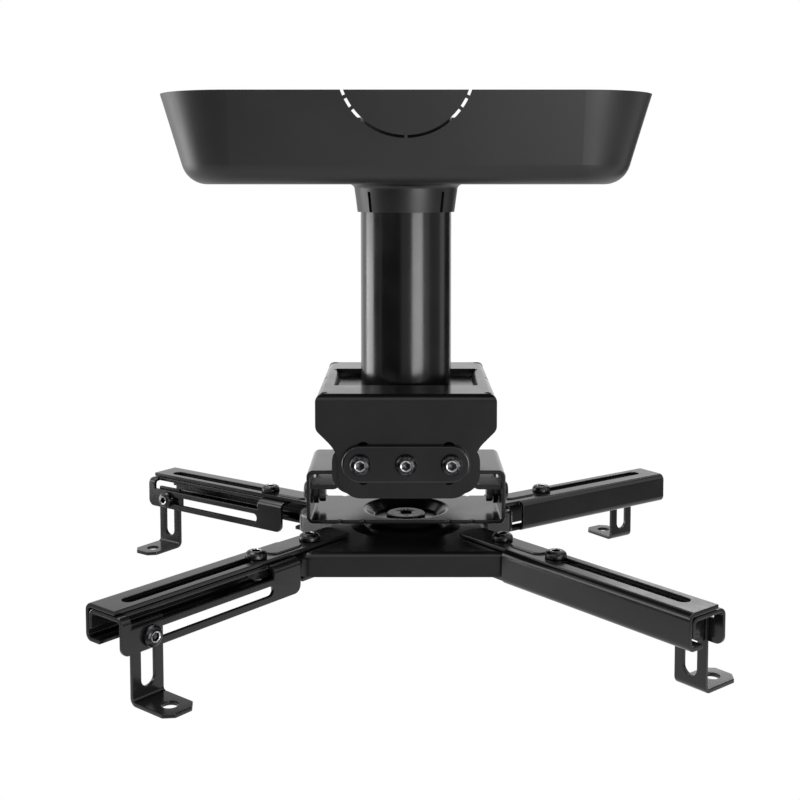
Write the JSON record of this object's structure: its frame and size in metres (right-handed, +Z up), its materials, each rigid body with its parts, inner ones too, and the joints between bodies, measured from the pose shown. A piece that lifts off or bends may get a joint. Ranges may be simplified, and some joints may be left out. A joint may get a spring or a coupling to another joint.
{
  "type": "projector ceiling mount",
  "caption": "Black ceiling mount for a projector: pole with sliding cover, rolling and pitching head, swivel hub and swinging, sliding arms with slotted feet.",
  "frame": {"origin": "on the ceiling plane, at the pole axis (centre of the ceiling plate's upper face)", "axes": "+Z up into the ceiling, along the pole; -Y the front with the cable knockout; +X to the right"},
  "size_m": [0.3243, 0.2811, 0.2639],
  "materials": {
    "powder_coat": "fine satin black powder coat",
    "moulded_plastic": "satin black moulding",
    "black_bolt": "black zinc, semi-bright",
    "zinc_nut": "dark zinc"
  },
  "bodies": {
    "pole_frame": {"ceiling_plate": "powder_coat", "pole": "powder_coat", "tilt_head": "powder_coat"},
    "cover": {"ceiling_cover": "moulded_plastic"},
    "cross": {"cross_bracket": "powder_coat", "front_clamp_bar": "powder_coat", "rear_clamp_bar": "powder_coat", "roll_pivot_bolts": "black_bolt", "roll_lock_bolts": "black_bolt", "roll_nuts": "zinc_nut"},
    "swivel_yoke": {"yoke": "powder_coat", "pitch_bolts": "black_bolt", "pitch_nuts": "zinc_nut", "swivel_bolt": "black_bolt", "swivel_washer": "zinc_nut", "swivel_nut": "zinc_nut"},
    "arm_hub": {"hub": "powder_coat", "arm_pivot_bolts": "black_bolt", "arm_pivot_sleeves": "zinc_nut", "arm_pivot_nuts": "zinc_nut"},
    "front_left_arm_body": {"front_left_arm": "powder_coat"},
    "front_left_slider_body": {"front_left_slider": "powder_coat", "front_left_slot_bolt": "black_bolt", "front_left_slot_nut": "zinc_nut"},
    "front_left_carriage": {"front_left_foot_bolt": "black_bolt", "front_left_nut_plate": "zinc_nut"},
    "front_left_foot_body": {"front_left_foot": "powder_coat"},
    "front_right_arm_body": {"front_right_arm": "powder_coat"},
    "front_right_slider_body": {"front_right_slider": "powder_coat", "front_right_slot_bolt": "black_bolt", "front_right_slot_nut": "zinc_nut"},
    "front_right_carriage": {"front_right_foot_bolt": "black_bolt", "front_right_nut_plate": "zinc_nut"},
    "front_right_foot_body": {"front_right_foot": "powder_coat"},
    "rear_right_arm_body": {"rear_right_arm": "powder_coat"},
    "rear_right_slider_body": {"rear_right_slider": "powder_coat", "rear_right_slot_bolt": "black_bolt", "rear_right_slot_nut": "zinc_nut"},
    "rear_right_carriage": {"rear_right_foot_bolt": "black_bolt", "rear_right_nut_plate": "zinc_nut"},
    "rear_right_foot_body": {"rear_right_foot": "powder_coat"},
    "rear_left_arm_body": {"rear_left_arm": "powder_coat"},
    "rear_left_slider_body": {"rear_left_slider": "powder_coat", "rear_left_slot_bolt": "black_bolt", "rear_left_slot_nut": "zinc_nut"},
    "rear_left_carriage": {"rear_left_foot_bolt": "black_bolt", "rear_left_nut_plate": "zinc_nut"},
    "rear_left_foot_body": {"rear_left_foot": "powder_coat"}
  },
  "joints": [
    {"name": "cover_slide", "type": "slide", "parent": "pole_frame", "child": "cover", "axis": [0, 0, 1], "range_m": [-0.085, 0]},
    {"name": "head_roll", "type": "hinge", "parent": "pole_frame", "child": "cross", "pos_m": [0, 0, -0.1775], "axis": [0, 1, 0], "range_deg": [-15, 15]},
    {"name": "yoke_pitch", "type": "hinge", "parent": "cross", "child": "swivel_yoke", "pos_m": [0, 0, -0.2055], "axis": [1, 0, 0], "range_deg": [-12, 12]},
    {"name": "hub_swivel", "type": "hinge", "parent": "swivel_yoke", "child": "arm_hub", "pos_m": [0, 0, -0.2233], "axis": [0, 0, 1], "continuous": true},
    {"name": "front_left_swing", "type": "hinge", "parent": "arm_hub", "child": "front_left_arm_body", "pos_m": [-0.049, -0.038, -0.221], "axis": [0, 0, 1], "range_deg": [-20, 25]},
    {"name": "front_left_extend", "type": "slide", "parent": "front_left_arm_body", "child": "front_left_slider_body", "axis": [-0.6293, -0.7771, 0], "range_m": [0, 0.075]},
    {"name": "front_left_foot_slide", "type": "slide", "parent": "front_left_slider_body", "child": "front_left_carriage", "axis": [-0.6293, -0.7771, 0], "range_m": [-0.06, 0]},
    {"name": "front_left_foot_height", "type": "slide", "parent": "front_left_carriage", "child": "front_left_foot_body", "axis": [0, 0, 1], "range_m": [0, 0.019]},
    {"name": "front_right_swing", "type": "hinge", "parent": "arm_hub", "child": "front_right_arm_body", "pos_m": [0.049, -0.038, -0.221], "axis": [0, 0, 1], "range_deg": [-20, 25]},
    {"name": "front_right_extend", "type": "slide", "parent": "front_right_arm_body", "child": "front_right_slider_body", "axis": [0.6293, -0.7771, 0], "range_m": [0, 0.075]},
    {"name": "front_right_foot_slide", "type": "slide", "parent": "front_right_slider_body", "child": "front_right_carriage", "axis": [0.6293, -0.7771, 0], "range_m": [-0.06, 0]},
    {"name": "front_right_foot_height", "type": "slide", "parent": "front_right_carriage", "child": "front_right_foot_body", "axis": [0, 0, 1], "range_m": [0, 0.019]},
    {"name": "rear_right_swing", "type": "hinge", "parent": "arm_hub", "child": "rear_right_arm_body", "pos_m": [0.049, 0.038, -0.221], "axis": [0, 0, 1], "range_deg": [-20, 25]},
    {"name": "rear_right_extend", "type": "slide", "parent": "rear_right_arm_body", "child": "rear_right_slider_body", "axis": [0.8192, 0.5736, 0], "range_m": [0, 0.075]},
    {"name": "rear_right_foot_slide", "type": "slide", "parent": "rear_right_slider_body", "child": "rear_right_carriage", "axis": [0.8192, 0.5736, 0], "range_m": [-0.06, 0]},
    {"name": "rear_right_foot_height", "type": "slide", "parent": "rear_right_carriage", "child": "rear_right_foot_body", "axis": [0, 0, 1], "range_m": [0, 0.019]},
    {"name": "rear_left_swing", "type": "hinge", "parent": "arm_hub", "child": "rear_left_arm_body", "pos_m": [-0.049, 0.038, -0.221], "axis": [0, 0, 1], "range_deg": [-20, 25]},
    {"name": "rear_left_extend", "type": "slide", "parent": "rear_left_arm_body", "child": "rear_left_slider_body", "axis": [-0.8192, 0.5736, 0], "range_m": [0, 0.075]},
    {"name": "rear_left_foot_slide", "type": "slide", "parent": "rear_left_slider_body", "child": "rear_left_carriage", "axis": [-0.8192, 0.5736, 0], "range_m": [-0.06, 0]},
    {"name": "rear_left_foot_height", "type": "slide", "parent": "rear_left_carriage", "child": "rear_left_foot_body", "axis": [0, 0, 1], "range_m": [0, 0.019]}
  ]
}
